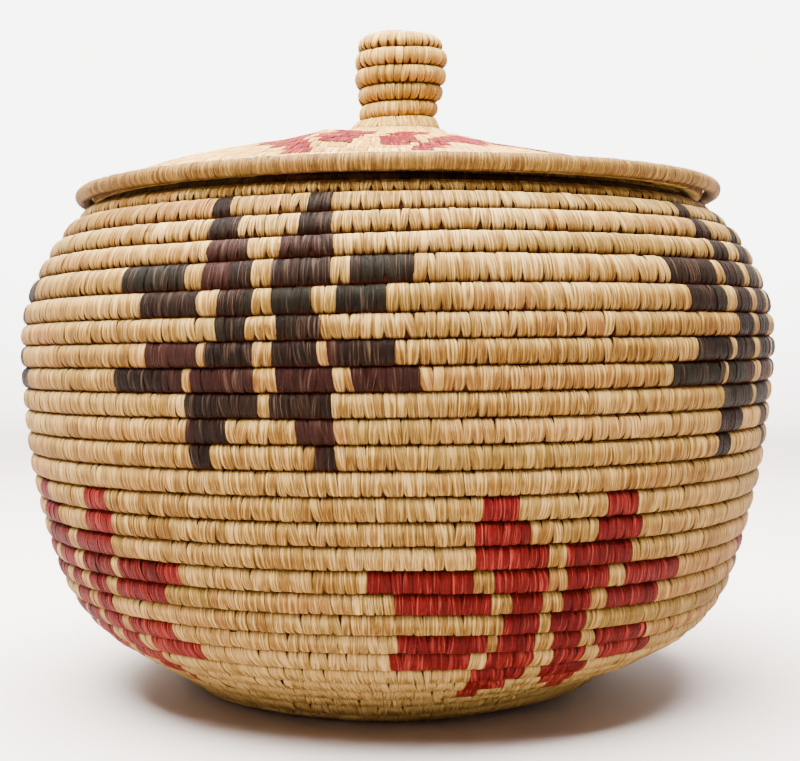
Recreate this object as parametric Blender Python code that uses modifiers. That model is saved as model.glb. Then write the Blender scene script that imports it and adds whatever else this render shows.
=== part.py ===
# A lidded coiled grass basket with pebbles that rattle in the hollow knob of its lid.
# The body, the lid and the knob are long coils of grass, wound course on course.
# Each coiled piece is wound as a straight helical tube by a Screw modifier, then laid
# along its own outline, so that its courses climb as those of the real coil do.

import math

import bmesh
import bpy
import numpy as np

MM = 0.001

# The body
BELLY_RADIUS = 146.0 * MM
WALL_HEIGHT = 183.0 * MM
MOUTH_RADIUS = 112.0 * MM
COURSE_PITCH = 8.0 * MM
COIL_THICKNESS = 7.4 * MM
COIL_GROOVE = 1.5 * MM
BASE_GROOVE = 1.0 * MM
BASE_RADIUS = 74.0 * MM
BASE_RISE = 2.4 * MM
RIM_COIL_DIAMETER = 6.6 * MM

# The lid
LID_OVERHANG = 14.0 * MM
LID_RISE = 22.0 * MM
LID_COURSE_PITCH = 7.8 * MM
LID_THICKNESS = 6.2 * MM
LID_GROOVE = 0.9 * MM
EDGE_COIL_DIAMETER = 6.4 * MM
COLLAR_CLEARANCE = 1.8 * MM
COLLAR_LEAN = 1.9 * MM
COLLAR_THICKNESS = 5.6 * MM
COLLAR_COURSES = 2

# The knob and what rattles in it
KNOB_RADIUS = 18.4 * MM
KNOB_HEIGHT = 41.2 * MM
KNOB_COURSE_PITCH = 7.4 * MM
KNOB_GROOVE = 1.4 * MM
CAP_RADIUS = 9.0 * MM
CAP_COURSE_PITCH = 4.5 * MM
CAP_GROOVE = 0.7 * MM
FLOOR_THICKNESS = 3.0 * MM
FLOOR_COURSE_PITCH = 4.6 * MM
FLOOR_GROOVE = 0.5 * MM
PEBBLES_ROUND_THE_MIDDLE = 5

# The gap between pieces that touch, and the distance within which a mesh's points are joined
SEAT_GAP = 0.3 * MM
WELD = 0.02 * MM

# How finely each piece is divided round the axis, and its outline along its length
BODY_COLUMNS = 28
KNOB_COLUMNS = 20
RING_COIL_SIDES = 8
PEBBLE_COLUMNS = 8
PEBBLE_RINGS = 6
LINE_STEPS = 24

# The section of one course: shares of the way across it, with shares of its groove's depth
RIDGED_SHARES = ((0.0, 1.0), (0.25, 0.0), (0.75, 0.0))
WAVY_SHARES = ((0.0, 1.0), (0.5, 0.0))
SMOOTH_SHARES = ((0.0, 1.0),)
# A tapering course starts and ends where it is this share of a full course
THINNEST_COURSE_SHARE = 0.12

# The middle line of the base's coil from its centre out, as shares of (base radius, base rise)
BASE_SHARES = (
    (0.0, 1.0),
    (0.20, 0.96),
    (0.40, 0.76),
    (0.56, 0.40),
    (0.68, 0.10),
    (0.77, 0.0),
    (0.83, 0.0),
    (0.89, 0.0),
    (0.95, 0.0),
    (1.0, 0.0),
    (1.05, 0.0),
)
# The middle line of the wall's coil going up to the widest course, as shares of (the way out
# from the base's edge to the belly, wall height)
LOWER_WALL_SHARES = (
    (0.088, 0.031),
    (0.145, 0.045),
    (0.205, 0.061),
    (0.279, 0.077),
    (0.374, 0.099),
    (0.476, 0.123),
    (0.553, 0.142),
    (0.607, 0.160),
    (0.662, 0.181),
    (0.709, 0.205),
    (0.753, 0.233),
    (0.792, 0.265),
    (0.827, 0.303),
    (0.859, 0.340),
    (0.886, 0.377),
    (0.915, 0.426),
    (0.937, 0.465),
    (0.955, 0.505),
    (0.975, 0.572),
    (0.991, 0.645),
    (1.0, 0.705),
)
# The same line going on up and in, as shares of (the way out from the rim to the belly, wall height)
UPPER_WALL_SHARES = (
    (0.982, 0.759),
    (0.930, 0.805),
    (0.826, 0.848),
    (0.677, 0.893),
    (0.469, 0.940),
    (0.208, 0.975),
)
# The middle line of the lid's coil: the knob from its top down, as shares of (the line's
# radius where the knob is widest, knob height), then the lid from the knob's foot out, as
# shares of (the radius where the lid's coil ends, lid rise)
KNOB_SHARES = (
    (0.0, 1.0),
    (0.40, 0.999),
    (0.72, 0.988),
    (0.915, 0.946),
    (0.987, 0.864),
    (1.0, 0.731),
    (0.974, 0.597),
    (0.877, 0.464),
    (0.823, 0.342),
    (0.823, 0.252),
    (0.877, 0.182),
    (1.007, 0.114),
    (1.227, 0.051),
)
LID_SHARES = (
    (0.200, 1.0),
    (0.420, 0.773),
    (0.721, 0.428),
    (1.0, 0.0),
)
# Where the knob's coil meets the lid's, as a share of the knob's height, and where the
# floor of its hollow lies
NECK_SHARE = 0.285
FLOOR_SHARE = 0.300
# The pebbles are picked to suit the hollow: their diameter and the ring they lie in are shares
# of its radius, and the middle one's diameter and each one's height are shares of theirs
PEBBLE_DIAMETER_SHARE = 0.53
PEBBLE_RING_SHARE = 0.56
MIDDLE_PEBBLE_SHARE = 0.90
PEBBLE_SQUASH_SHARES = (0.92, 1.0, 0.88, 0.96, 0.90, 0.94)


def clear_scene():
    for obj in list(bpy.data.objects):
        bpy.data.objects.remove(obj)


def new_collection(name):
    collection = bpy.data.collections.new(name)
    bpy.context.scene.collection.children.link(collection)
    return collection


def new_material(name, colour, roughness):
    material = bpy.data.materials.new(name)
    material.use_nodes = True
    shader = material.node_tree.nodes["Principled BSDF"]
    shader.inputs["Base Color"].default_value = (*colour, 1.0)
    shader.inputs["Roughness"].default_value = roughness
    return material


def scaled(shares, start, width, height, lift):
    return [(start + across * width, up * height + lift) for across, up in shares]


def smooth_line(points):
    """A smooth line through points of (radius, height), in short steps."""
    points = np.array(points)
    before, after = 2 * points[0] - points[1], 2 * points[-1] - points[-2]
    points = np.vstack([before, points, after])
    t = np.linspace(0, 1, LINE_STEPS, endpoint=False)[:, None]
    spans = []
    for a, b, c, d in zip(points, points[1:], points[2:], points[3:]):
        bend = (2 * a - 5 * b + 4 * c - d) * t**2 + (3 * b - a - 3 * c + d) * t**3
        spans.append((2 * b + (c - a) * t + bend) / 2)
    return np.vstack([*spans, points[-2:-1]])


def distances(line):
    """How far along the line each of its points is."""
    return np.concatenate([[0.0], np.cumsum(np.hypot(*np.diff(line, axis=0).T))])


def at_distance(line, distance):
    """The points that far along a line."""
    reached = distances(line)
    return np.column_stack([np.interp(distance, reached, line[:, axis]) for axis in (0, 1)])


def left_of(line, distance):
    """The unit normals on the line's left, that far along it."""
    reached = distances(line)
    step = reached[-1] / len(line)
    run = at_distance(line, np.minimum(distance + step, reached[-1]))
    run -= at_distance(line, np.maximum(distance - step, 0))
    run /= np.hypot(*run.T)[:, None]
    return np.column_stack([-run[:, 1], run[:, 0]])


def cut_line(line, start, end):
    """The piece of a line between two distances along it."""
    reached = distances(line)
    inner = line[(reached > start + WELD) & (reached < end - WELD)]
    ends = at_distance(line, np.array([start, end]))
    return np.vstack([ends[:1], inner, ends[1:]])


def straight_coil(pitch, turns, columns, left_shares, right_shares):
    """A Screw modifier winds one course's two sides into a straight helical tube, left side inmost."""
    course = bmesh.new()
    for radius, shares in ((pitch, left_shares), (2 * pitch, right_shares)):
        heights = [across * pitch for across, _ in shares] + [pitch]
        side = [course.verts.new((radius, 0, height)) for height in reversed(heights)]
        for upper, lower in zip(side, side[1:]):
            course.edges.new((upper, lower))
    mesh = bpy.data.meshes.new("course")
    course.to_mesh(mesh)
    course.free()
    guide = bpy.data.objects.new("course", mesh)
    bpy.context.scene.collection.objects.link(guide)
    screw = guide.modifiers.new("wind", "SCREW")
    screw.axis = "Z"
    screw.angle = math.tau
    screw.screw_offset = pitch
    screw.iterations = turns
    screw.steps = columns
    screw.render_steps = columns
    graph = bpy.context.evaluated_depsgraph_get()
    coil = bpy.data.meshes.new_from_object(guide.evaluated_get(graph))
    bpy.data.objects.remove(guide)
    return coil


def wound_piece(name, line, pitch, thickness, left, right, columns, material, collection):
    """Lays a straight coil along an outline. Its first and last courses taper, so that its ends are level.

    left and right are a groove's depth and a course's section on that side of the line.
    """
    length = distances(line)[-1]
    courses = max(1, round(length / pitch))
    pitch = length / courses
    coil = straight_coil(pitch, courses + 1, columns, left[1], right[1])
    points = np.array([vertex.co for vertex in coil.vertices], float)
    on_left = np.hypot(points[:, 0], points[:, 1]) < 1.5 * pitch

    turn = np.arctan2(points[:, 1], points[:, 0]) / math.tau % 1.0
    turn[turn > 1 - 0.5 / columns] = 0.0
    climb = points[:, 2] / pitch - turn
    course = np.floor(climb + 0.5 / columns**2)
    across = np.clip(climb - course, 0, 1)
    start = np.clip((course - 1 + turn) * pitch, 0, length)
    end = np.clip((course + turn) * pitch, 0, length)
    distance = start + across * (end - start)
    thinnest = THINNEST_COURSE_SHARE * pitch
    at_start, at_end = distance < thinnest, distance > length - thinnest
    distance = np.where(at_start, 0, np.where(at_end, length, distance))

    half = np.zeros(len(points))
    for side, (groove, shares) in ((on_left, left), (~on_left, right)):
        places, depths = zip(*shares, (1.0, 1.0))
        fullness = np.where(at_start | at_end, 0, (end - start) / pitch)[side]
        depth = 1 - (1 - np.interp(across[side], places, depths)) * fullness
        half[side] = thickness / 2 - groove * depth
    outline = at_distance(line, distance)
    outline += np.where(on_left, half, -half)[:, None] * left_of(line, distance)
    outline[distance + line[0, 0] < WELD, 0] = 0
    angle = math.tau * turn
    points = np.column_stack([outline[:, 0] * np.cos(angle), outline[:, 0] * np.sin(angle), outline[:, 1]])
    coil.vertices.foreach_set("co", points.ravel())

    shell = bmesh.new()
    shell.from_mesh(coil)
    bmesh.ops.remove_doubles(shell, verts=shell.verts, dist=WELD)
    close_end(shell, line[0], left_of(line, np.array([0.0]))[0], thickness)
    close_end(shell, line[-1], left_of(line, np.array([length]))[0], thickness)
    bmesh.ops.recalc_face_normals(shell, faces=shell.faces)
    shell.to_mesh(coil)
    shell.free()
    coil.materials.append(material)
    coil.shade_smooth()
    coil.set_sharp_from_angle(angle=math.radians(60))
    coil.name = name
    obj = bpy.data.objects.new(name, coil)
    collection.objects.link(obj)
    return obj


def close_end(shell, end_point, left, thickness):
    """Extrudes the open ring on the left side of a coil's end across to the ring on its right."""
    rings = {True: [], False: []}
    for edge in shell.edges:
        middle = (edge.verts[0].co + edge.verts[1].co) / 2
        away = np.array([math.hypot(middle.x, middle.y), middle.z]) - end_point
        if edge.is_boundary and np.hypot(*away) < thickness:
            rings[bool(away @ left > 0)].append(edge)
    opposite = list({vertex for edge in rings[False] for vertex in edge.verts})
    made = bmesh.ops.extrude_edge_only(shell, edges=rings[True])["geom"]
    for vertex in made:
        if isinstance(vertex, bmesh.types.BMVert):
            vertex.co = min(opposite, key=lambda other: (other.co - vertex.co).length).co
    bmesh.ops.remove_doubles(shell, verts=shell.verts, dist=WELD)


def keep_object(name, material, collection):
    """Names the object that a primitive has just made, and puts it with the others."""
    obj = bpy.context.object
    for other in list(obj.users_collection):
        other.objects.unlink(obj)
    collection.objects.link(obj)
    obj.name = name
    obj.data.name = name
    obj.data.materials.append(material)
    obj.data.shade_smooth()
    return obj


def ring_coil(name, centre, diameter, material, collection):
    """A single coil closed on itself, such as a finished edge, round a centre of (radius, height)."""
    bpy.ops.mesh.primitive_torus_add(
        location=(0, 0, centre[1]),
        major_radius=centre[0],
        minor_radius=diameter / 2,
        major_segments=BODY_COLUMNS,
        minor_segments=RING_COIL_SIDES,
    )
    return keep_object(name, material, collection)


def body_line():
    """The middle line of the body's coil, from the base's centre to just short of the rim coil."""
    rim = np.array([MOUTH_RADIUS + RIM_COIL_DIAMETER / 2, WALL_HEIGHT])
    belly = BELLY_RADIUS - COIL_THICKNESS / 2
    base = scaled(BASE_SHARES, 0, BASE_RADIUS, BASE_RISE, COIL_THICKNESS / 2)
    lower = scaled(LOWER_WALL_SHARES, BASE_RADIUS, belly - BASE_RADIUS, WALL_HEIGHT, 0)
    upper = scaled(UPPER_WALL_SHARES, rim[0], belly - rim[0], WALL_HEIGHT, 0)
    line = smooth_line([*base, *lower, *upper, rim])
    line[:, 1] = np.maximum(line[:, 1], COIL_THICKNESS / 2)
    end = distances(line)[-1] - RIM_COIL_DIAMETER / 2 - SEAT_GAP
    return cut_line(line, 0, end), rim


def lid_line(rim):
    """The middle line of the lid's coil, from the knob's top to the lid's edge, resting on the rim coil."""
    lid_end = MOUTH_RADIUS + LID_OVERHANG - EDGE_COIL_DIAMETER - SEAT_GAP
    knob = scaled(KNOB_SHARES, 0, KNOB_RADIUS - LID_THICKNESS / 2, KNOB_HEIGHT, LID_RISE)
    lid = scaled(LID_SHARES, 0, lid_end, LID_RISE, 0)
    line = smooth_line([*knob, *lid])
    reach = RIM_COIL_DIAMETER / 2 + SEAT_GAP + LID_THICKNESS / 2
    over = line[np.abs(line[:, 0] - rim[0]) < reach]
    needed = rim[1] + np.sqrt(reach**2 - (over[:, 0] - rim[0]) ** 2)
    line[:, 1] += np.max(needed - over[:, 1])
    return line


def collar_line(lid):
    """The middle line of the collar, square to the lid's underside and then straight down."""
    collar_radius = MOUTH_RADIUS - COLLAR_CLEARANCE - COLLAR_THICKNESS / 2
    outside = lid[:, 0] > collar_radius
    distance = np.interp(collar_radius + COLLAR_LEAN, lid[outside, 0], distances(lid)[outside])
    under = -left_of(lid, np.array([distance]))[0]
    top = at_distance(lid, [distance])[0] + under * (LID_THICKNESS / 2 + SEAT_GAP)
    bend = top + under * LID_COURSE_PITCH / 2
    bottom = np.array([bend[0], top[1] - COLLAR_COURSES * LID_COURSE_PITCH])
    return smooth_line([top, bend, bottom])


def pebble(number, place, diameter, squash, material, collection):
    bpy.ops.mesh.primitive_uv_sphere_add(
        segments=PEBBLE_COLUMNS,
        ring_count=PEBBLE_RINGS,
        radius=diameter / 2,
        location=(place[0], place[1], place[2] + SEAT_GAP + squash * diameter / 2),
        rotation=(0, 0, number),
        scale=(1, 0.5 + squash / 2, squash),
    )
    return keep_object(f"rattle_pebble_{number}", material, collection)


def build():
    clear_scene()
    collection = new_collection("rattle_top_basket")
    grass = new_material("split_grass", (0.69, 0.48, 0.22), 0.7)
    lid_grass = new_material("split_grass_lid", (0.72, 0.51, 0.25), 0.7)
    stone = new_material("pebble_stone", (0.30, 0.27, 0.24), 0.6)

    # The body: base, wall and rim
    body, rim = body_line()
    join = np.interp(BASE_RADIUS, body[: LINE_STEPS * len(BASE_SHARES), 0],
                     distances(body)[: LINE_STEPS * len(BASE_SHARES)])
    base = cut_line(body, 0, join)
    wall = cut_line(body, join + SEAT_GAP, distances(body)[-1])
    wound_piece("base_coil", base, COURSE_PITCH, COIL_THICKNESS, (0.0, SMOOTH_SHARES),
                (BASE_GROOVE, RIDGED_SHARES), BODY_COLUMNS, grass, collection)
    wound_piece("wall_coil", wall, COURSE_PITCH, COIL_THICKNESS, (0.0, SMOOTH_SHARES),
                (COIL_GROOVE, RIDGED_SHARES), BODY_COLUMNS, grass, collection)
    ring_coil("rim_coil", rim, RIM_COIL_DIAMETER, grass, collection)

    # The lid: knob cap, knob, lid, edge and collar
    line = lid_line(rim)
    reached = distances(line)
    knob_foot = line[0, 1] - KNOB_HEIGHT
    neck_height = knob_foot + NECK_SHARE * KNOB_HEIGHT
    cap_end = np.interp(CAP_RADIUS, line[: 2 * LINE_STEPS, 0], reached[: 2 * LINE_STEPS])
    neck = np.interp(-neck_height, -line[:, 1], reached)
    cap = cut_line(line, 0, cap_end)
    knob = cut_line(line, cap_end + SEAT_GAP, neck)
    lid = cut_line(line, neck + SEAT_GAP, reached[-1])
    wound_piece("knob_cap", cap, CAP_COURSE_PITCH, LID_THICKNESS, (CAP_GROOVE, WAVY_SHARES),
                (0.0, SMOOTH_SHARES), KNOB_COLUMNS, lid_grass, collection)
    wound_piece("knob_coil", knob, KNOB_COURSE_PITCH, LID_THICKNESS, (KNOB_GROOVE, RIDGED_SHARES),
                (0.0, SMOOTH_SHARES), KNOB_COLUMNS, lid_grass, collection)
    wound_piece("lid_coil", lid, LID_COURSE_PITCH, LID_THICKNESS, (LID_GROOVE, WAVY_SHARES),
                (0.0, SMOOTH_SHARES), BODY_COLUMNS, lid_grass, collection)
    down = left_of(lid, distances(lid)[-1:])[0]
    edge = lid[-1] + (SEAT_GAP + EDGE_COIL_DIAMETER / 2) * np.array([down[1], -down[0]])
    ring_coil("lid_edge_coil", edge, EDGE_COIL_DIAMETER, lid_grass, collection)
    wound_piece("lid_collar", collar_line(lid), LID_COURSE_PITCH, COLLAR_THICKNESS,
                (LID_GROOVE, WAVY_SHARES), (0.0, SMOOTH_SHARES), BODY_COLUMNS, lid_grass, collection)

    # The floor of the knob's hollow, and the pebbles on it
    hollow_radius = np.interp(-neck_height, -line[:, 1], line[:, 0]) - LID_THICKNESS / 2
    floor_height = knob_foot + FLOOR_SHARE * KNOB_HEIGHT + FLOOR_THICKNESS / 2
    floor = smooth_line([(0, floor_height), (hollow_radius - SEAT_GAP, floor_height)])
    wound_piece("rattle_floor", floor, FLOOR_COURSE_PITCH, FLOOR_THICKNESS, (0.0, SMOOTH_SHARES),
                (FLOOR_GROOVE, WAVY_SHARES), KNOB_COLUMNS, lid_grass, collection)
    floor_top = floor_height + FLOOR_THICKNESS / 2
    diameter = PEBBLE_DIAMETER_SHARE * hollow_radius
    ring = PEBBLE_RING_SHARE * hollow_radius
    for number, squash in enumerate(PEBBLE_SQUASH_SHARES[:PEBBLES_ROUND_THE_MIDDLE], 1):
        angle = math.tau * number / PEBBLES_ROUND_THE_MIDDLE
        place = (ring * math.cos(angle), ring * math.sin(angle), floor_top)
        pebble(number, place, diameter, squash, stone, collection)
    pebble(PEBBLES_ROUND_THE_MIDDLE + 1, (0, 0, floor_top), MIDDLE_PEBBLE_SHARE * diameter,
           PEBBLE_SQUASH_SHARES[-1], stone, collection)


build()
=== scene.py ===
import math

import bpy
import numpy as np
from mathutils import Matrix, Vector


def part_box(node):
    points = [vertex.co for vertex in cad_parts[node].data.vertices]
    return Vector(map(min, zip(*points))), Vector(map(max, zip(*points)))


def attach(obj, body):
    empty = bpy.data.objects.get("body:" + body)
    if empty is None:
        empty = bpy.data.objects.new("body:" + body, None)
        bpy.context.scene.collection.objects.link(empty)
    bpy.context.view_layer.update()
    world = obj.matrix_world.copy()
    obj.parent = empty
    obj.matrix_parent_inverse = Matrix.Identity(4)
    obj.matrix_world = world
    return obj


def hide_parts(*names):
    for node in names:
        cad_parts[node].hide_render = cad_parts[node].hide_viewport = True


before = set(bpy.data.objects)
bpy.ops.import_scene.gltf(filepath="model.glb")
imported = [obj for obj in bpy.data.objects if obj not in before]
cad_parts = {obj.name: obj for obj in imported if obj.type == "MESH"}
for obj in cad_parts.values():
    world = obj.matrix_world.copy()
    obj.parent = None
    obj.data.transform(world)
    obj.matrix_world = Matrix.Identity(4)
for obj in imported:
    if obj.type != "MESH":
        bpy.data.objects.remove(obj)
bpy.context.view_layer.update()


# The base
# The body's bundle starts in the middle as a thin end and is wound flat, a little hollow, so
# that the basket stands on a level ring. Each wrap of the sewing strip goes round the bundle and
# through the course before it, so the wraps hide the grass that they hold.
MM = 0.001
BASE_RADIUS = 74.0 * MM
BASE_RISE = 2.4 * MM
COIL_THICKNESS = 7.4 * MM
BELLY_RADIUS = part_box("wall_coil")[1].x
rim_low, rim_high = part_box("rim_coil")
WALL_HEIGHT = (rim_low.z + rim_high.z) / 2
RIM_THICKNESS = rim_high.z - rim_low.z
RIM_RADIUS = rim_high.x - RIM_THICKNESS / 2
RIM_OVERLAP = 1.0 * MM
BASE_COURSES = 9
WALL_COURSES = 27
STRIP_WIDTH = 3.2 * MM
# How much single wraps differ in width, as a share of it, and at most how many times that much
WIDTH_SPREAD, WIDEST = 0.13, 2.2
# In the very middle, where a turn is shorter than this, the wraps are laid as if on it
SHORTEST_TURN_RADIUS = 2.5 * MM
# Steps in each span of a coil's line, and in each turn of a coil where its length is measured
LINE_STEPS = 24
TURN_STEPS = 90
# The middle line of the base's coil, as shares of (base radius, base rise)
BASE_SHARES = (
    (0.0, 1.0), (0.20, 0.96), (0.40, 0.76), (0.56, 0.40), (0.68, 0.10), (0.77, 0.0),
    (0.83, 0.0), (0.89, 0.0), (0.95, 0.0), (1.0, 0.0), (1.05, 0.0),
)
# The same line up the wall: shares of (the way out from the base to the belly, wall height),
# then of (the way out from the rim to the belly, wall height)
LOWER_WALL_SHARES = (
    (0.088, 0.031), (0.145, 0.045), (0.205, 0.061), (0.279, 0.077), (0.374, 0.099),
    (0.476, 0.123), (0.553, 0.142), (0.607, 0.160), (0.662, 0.181), (0.709, 0.205),
    (0.753, 0.233), (0.792, 0.265), (0.827, 0.303), (0.859, 0.340), (0.886, 0.377),
    (0.915, 0.426), (0.937, 0.465), (0.955, 0.505), (0.975, 0.572), (0.991, 0.645),
    (1.0, 0.705),
)
UPPER_WALL_SHARES = (
    (0.982, 0.759), (0.930, 0.805), (0.826, 0.848), (0.677, 0.893), (0.469, 0.940),
    (0.208, 0.975),
)
# How far the real courses stray from even ones, going up the wall, both counted in courses
STRAY_COURSES = (
    (0.0, 0.0), (0.75, 0.23), (2.75, 0.27), (4.75, 0.19), (6.75, 0.36), (8.75, 0.22), (9.75, 0.12),
    (12.75, 0.07), (16.75, 0.09), (20.75, 0.10), (21.75, 0.20), (22.75, 0.42), (23.75, 0.40),
    (24.75, 0.45), (25.75, 0.50), (26.5, 0.42), (26.75, 0.25), (27.0, 0.0),
)


def smooth_line(points):
    """A smooth line through points of (radius, height), in short steps."""
    points = np.array([tuple(point) for point in points], float)
    points = np.vstack([2 * points[0] - points[1], points, 2 * points[-1] - points[-2]])
    t = np.linspace(0, 1, LINE_STEPS, endpoint=False)[:, None]
    spans = []
    for a, b, c, d in zip(points, points[1:], points[2:], points[3:]):
        bend = (2 * a - 5 * b + 4 * c - d) * t**2 + (3 * b - a - 3 * c + d) * t**3
        spans.append((2 * b + (c - a) * t + bend) / 2)
    return np.vstack([*spans, points[-2:-1]])


def distances(line):
    """How far each point of a line is from its start, along the line."""
    return np.concatenate([[0.0], np.cumsum(np.hypot(*np.diff(line, axis=0).T))])


class Coil:
    """A bundle wound on a line of (radius, height). Its places are counted in turns from its start."""

    def __init__(self, line, marks, thickness, outside, climbs=True, turning=1, settled=None):
        """marks are pairs of (turns, distance along the line).

        outside is 1 where a course's outer side is on the left of the line, and -1 on the right.
        climbs is True where the courses lie beside each other along the line, and False where the coil
        is closed on itself and its one course takes up the whole line.
        turning is 1 for a coil wound counter-clockwise, seen from above, and -1 for the other way.
        settled takes coordinates of the even coil to where they are on the real, uneven one.
        """
        self.line, self.reached, self.climbs = line, distances(line), climbs
        self.turning, self.settled = turning, settled or (lambda x, y, z: (x, y, z))
        self.turns, self.marks = np.array(marks, float).T
        self.thickness, self.outside = thickness, outside
        run = np.gradient(line, axis=0)
        run /= np.hypot(*run.T)[:, None]
        self.normal = outside * np.column_stack([-run[:, 1], run[:, 0]])

    def edges(self, place):
        """Where the course at a place starts and ends, along the line."""
        if not self.climbs:
            return np.zeros_like(place), np.full_like(place, self.reached[-1])
        start, end = (np.interp(place - back, self.turns, self.marks) for back in (1, 0))
        return start, end

    def radius(self, place):
        """How far the middle of the course at a place is from the axis."""
        return np.interp(np.mean(self.edges(place), axis=0), self.reached, self.line[:, 0])

    def points(self, place, across, out):
        """Points at places in turns, at shares of the way across the course, so far out from it."""
        start, end = self.edges(place)
        along = start + across * (end - start)
        at = [np.interp(along, self.reached, self.line[:, axis]) for axis in (0, 1)]
        to = [np.interp(along, self.reached, self.normal[:, axis]) for axis in (0, 1)]
        radius, height = (a + out * b for a, b in zip(at, to))
        angle = self.turning * math.tau * place
        return np.stack(self.settled(radius * np.cos(angle), radius * np.sin(angle), height), axis=-1)

    def places(self, first, last, spacing, rng):
        """Places of wraps about that far apart, each with its own width."""
        fine = np.linspace(first, last, int((last - first) * TURN_STEPS) + 2)
        radius = np.maximum(self.radius(fine), SHORTEST_TURN_RADIUS)
        steps = math.tau * (radius[1:] + radius[:-1]) / 2 * np.diff(fine)
        run = np.concatenate([[0], np.cumsum(steps)])
        count = max(3, int(run[-1] / spacing))
        widths = 1 + WIDTH_SPREAD * np.clip(rng.standard_normal(count), -WIDEST, WIDEST)
        widths *= run[-1] / widths.sum()
        return np.interp(np.cumsum(widths) - widths / 2, run, fine), widths


def wrap_section(angle, reach, roundness, lap, coil):
    """Turns places round a unit ring into (share of the way across the course, distance out).

    roundness is 2 for a round course and more for a flatter, squarer one. lap is how far a wrap
    reaches past the edges of its course, as a share of the course's width.
    """
    bent = [np.sign(side) * np.abs(side) ** (2 / roundness) for side in (np.sin(angle), np.cos(angle))]
    return 0.5 + (0.5 + lap) * reach * bent[0], coil.thickness / 2 * reach * bent[1]


def edit(obj):
    """Starts shaping an object in edit mode, with nothing selected."""
    bpy.ops.object.select_all(action="DESELECT")
    obj.select_set(True)
    bpy.context.view_layer.objects.active = obj
    bpy.ops.object.mode_set(mode="EDIT")
    bpy.ops.mesh.select_mode(type="VERT")
    bpy.ops.mesh.select_all(action="DESELECT")


def select_where(obj, part, test):
    """Selects the vertices, edges or faces whose middle passes a test, and leaves it in edit mode."""
    bpy.ops.object.mode_set(mode="OBJECT")
    corners = obj.data.vertices
    for kind in ("vertices", "edges", "polygons"):
        for piece in getattr(obj.data, kind):
            piece.select = False
    for piece in getattr(obj.data, part):
        members = [piece.index] if part == "vertices" else piece.vertices
        piece.select = bool(test(*np.mean([corners[index].co for index in members], axis=0)))
    bpy.ops.object.mode_set(mode="EDIT")
    bpy.ops.mesh.select_mode(type={"vertices": "VERT", "edges": "EDGE", "polygons": "FACE"}[part])


# One wrap, as a band round a bundle of radius 1: 8 steps over the outside (+X) and 4 inside,
# a crowned middle and a flat back. It is read once as it is and once with its ends drawn in, where
# it dives between the courses (-Y and +Y), so that each wrap can be drawn in as much as it needs.
# Each row of END_WIDTHS: from where to where along Y, and the width that the band keeps there.
END_WIDTHS = (
    (-1.01, -0.86, 0.56), (-0.86, -0.60, 0.74), (-0.60, -0.30, 0.93), (0.60, 0.86, 0.96),
    (0.86, 1.01, 0.82),
)
bpy.ops.object.select_all(action="DESELECT")
bpy.ops.mesh.primitive_cylinder_add(vertices=16, radius=0.97, depth=1, end_fill_type="NOTHING")
wrap = bpy.context.object
wrap.name = "wrap_pattern"
edit(wrap)
inner_angles = [math.radians(angle) for angle in (112.5, 157.5)]
select_where(wrap, "edges", lambda x, y, z: abs(z) < 0.01 and x < -0.1
             and min(abs(abs(math.atan2(y, x)) - angle) for angle in inner_angles) < 0.02)
bpy.ops.mesh.dissolve_edges(use_verts=True)
bpy.ops.mesh.select_all(action="SELECT")
bpy.ops.mesh.inset(thickness=0.14, depth=0.03)
select_where(wrap, "vertices", lambda x, y, z: abs(z) > 0.45)
bpy.ops.mesh.bridge_edge_loops()
bpy.ops.mesh.select_all(action="SELECT")
bpy.ops.mesh.normals_make_consistent(inside=False)
bpy.ops.object.mode_set(mode="OBJECT")
wrap_points = np.array([vertex.co for vertex in wrap.data.vertices], float)
wrap_faces = np.array([list(face.vertices) for face in wrap.data.polygons])
for low, high, width in END_WIDTHS:
    select_where(wrap, "vertices", lambda x, y, z: low <= y / math.hypot(x, y) < high)
    bpy.ops.transform.resize(value=(1, 1, width))
bpy.ops.object.mode_set(mode="OBJECT")
wrap_drawn_in = np.array([vertex.co.z for vertex in wrap.data.vertices]) - wrap_points[:, 2]
bpy.data.objects.remove(wrap)


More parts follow.
